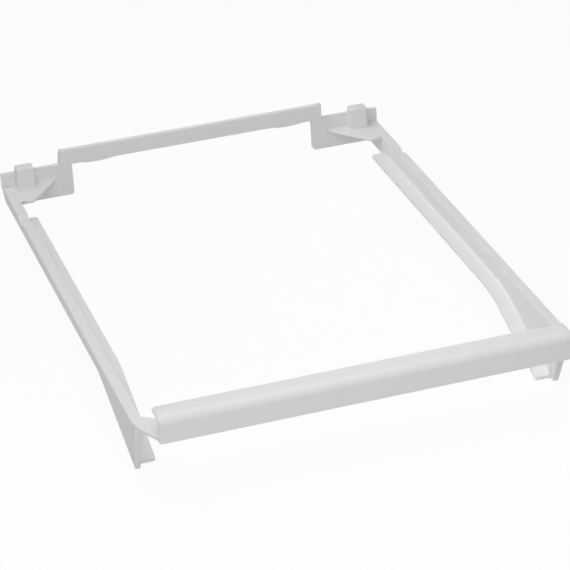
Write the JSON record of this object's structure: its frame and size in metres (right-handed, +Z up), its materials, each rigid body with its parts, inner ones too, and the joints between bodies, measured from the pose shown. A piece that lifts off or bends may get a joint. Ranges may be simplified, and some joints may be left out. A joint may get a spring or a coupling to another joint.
{
  "type": "refrigerator drawer frame",
  "caption": "Open rectangular plastic frame with a rounded hollow handle bar, side rails with runner ledges and ramps, and a stepped rear wall with corner shelves and pegs; carries a drawer.",
  "frame": {"origin": "Centre of the bounding box at the level of the feet's lowest points.", "axes": "+X to the right seen from the handle bar, +Y from the handle bar to the rear wall, +Z up from the feet to the rail tops."},
  "size_m": [0.3242, 0.4466, 0.0713],
  "materials": {
    "white_plastic": "fine satin as moulded"
  },
  "bodies": {
    "root": {"drawer_frame": "white_plastic"}
  },
  "joints": []
}
